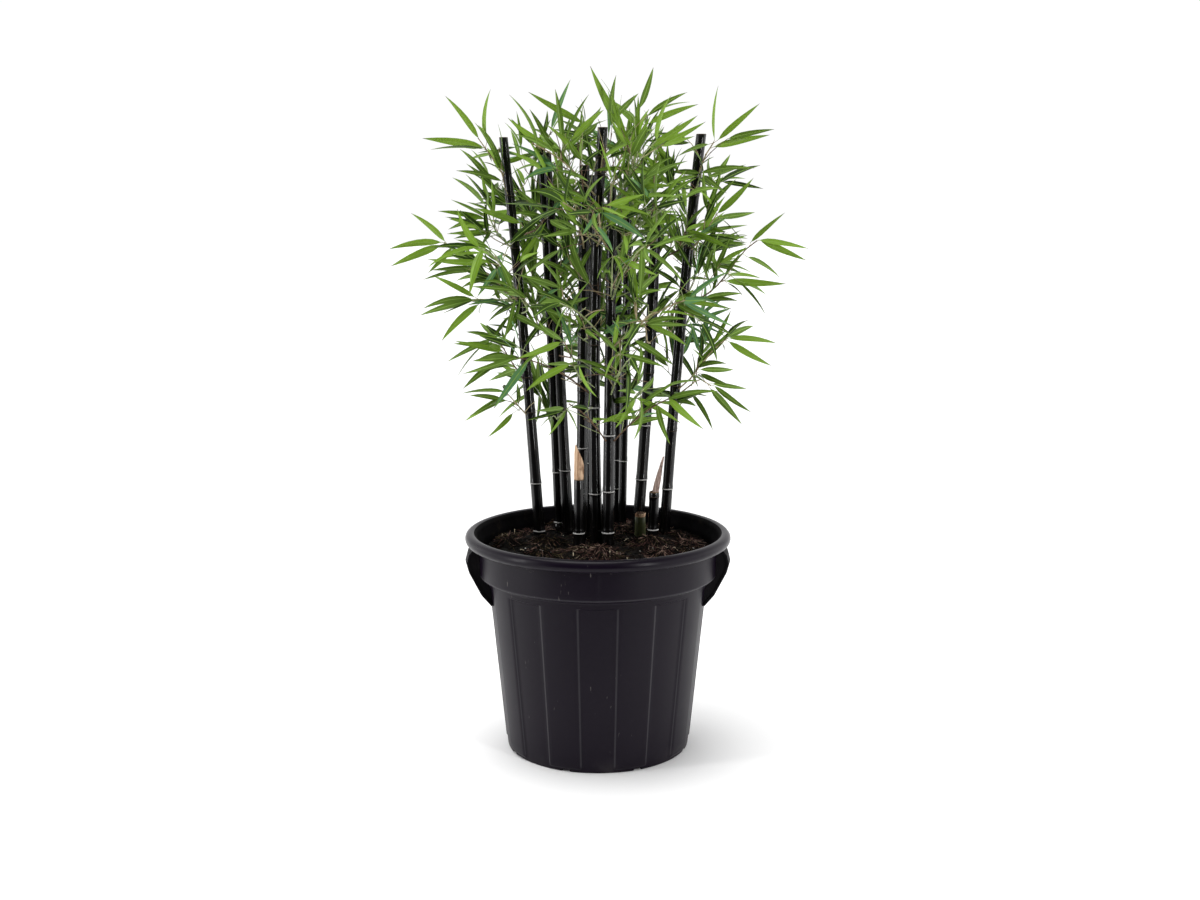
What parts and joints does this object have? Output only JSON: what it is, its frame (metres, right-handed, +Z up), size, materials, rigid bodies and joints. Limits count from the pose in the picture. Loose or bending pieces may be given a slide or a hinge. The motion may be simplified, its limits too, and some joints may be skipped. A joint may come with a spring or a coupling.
{
  "type": "potted black bamboo",
  "caption": "Clump of black bamboo canes cut level at the top, with leafy side shoots, growing in a round panelled plastic tub with grips at its sides.",
  "frame": {"origin": "centre of the tub's flat underside, on the ground", "axes": "+Z up the canes; -Y is the front, where the short front stubs and the tallest canes stand nearest; +X is the right-hand grip as seen from the front"},
  "size_m": [0.6246, 0.6112, 1.0192],
  "materials": {
    "tub_plastic": "satin",
    "compost": "matte",
    "black_cane": "satin",
    "olive_cane": "satin",
    "dry_sheath": "matte",
    "leaf_green": "satin"
  },
  "bodies": {
    "root": {"tub": "tub_plastic", "grip_left": "tub_plastic", "grip_right": "tub_plastic", "compost": "compost", "cane_left_outer": "black_cane", "cane_left_back": "black_cane", "cane_left_thick": "black_cane", "cane_centre_left": "black_cane", "cane_centre_thin": "black_cane", "cane_centre_tall": "black_cane", "cane_centre_front": "black_cane", "cane_back_thin": "black_cane", "cane_back": "black_cane", "cane_right_inner": "black_cane", "cane_right_outer": "black_cane", "stub_front_left": "black_cane", "stub_right_front": "black_cane", "stub_right_short": "olive_cane", "sheath_front_left": "dry_sheath", "sheath_right_short": "dry_sheath", "sheath_right_front": "dry_sheath", "spray_skirt_1": "leaf_green", "spray_skirt_2": "leaf_green", "spray_skirt_3": "leaf_green", "spray_skirt_4": "leaf_green", "spray_skirt_5": "leaf_green", "spray_skirt_6": "leaf_green", "spray_lower_1": "leaf_green", "spray_lower_2": "leaf_green", "spray_lower_3": "leaf_green", "spray_lower_4": "leaf_green", "spray_lower_5": "leaf_green", "spray_lower_6": "leaf_green", "spray_middle_1": "leaf_green", "spray_middle_2": "leaf_green", "spray_middle_3": "leaf_green", "spray_middle_4": "leaf_green", "spray_middle_5": "leaf_green", "spray_middle_6": "leaf_green", "spray_wide_1": "leaf_green", "spray_wide_2": "leaf_green", "spray_wide_3": "leaf_green", "spray_wide_4": "leaf_green", "spray_wide_5": "leaf_green", "spray_wide_6": "leaf_green", "spray_upper_1": "leaf_green", "spray_upper_2": "leaf_green", "spray_upper_3": "leaf_green", "spray_upper_4": "leaf_green", "spray_upper_5": "leaf_green", "spray_upper_6": "leaf_green", "spray_high_1": "leaf_green", "spray_high_2": "leaf_green", "spray_high_3": "leaf_green", "spray_high_4": "leaf_green", "spray_high_5": "leaf_green", "spray_crest_1": "leaf_green", "spray_crest_2": "leaf_green", "spray_crest_3": "leaf_green"}
  },
  "joints": []
}
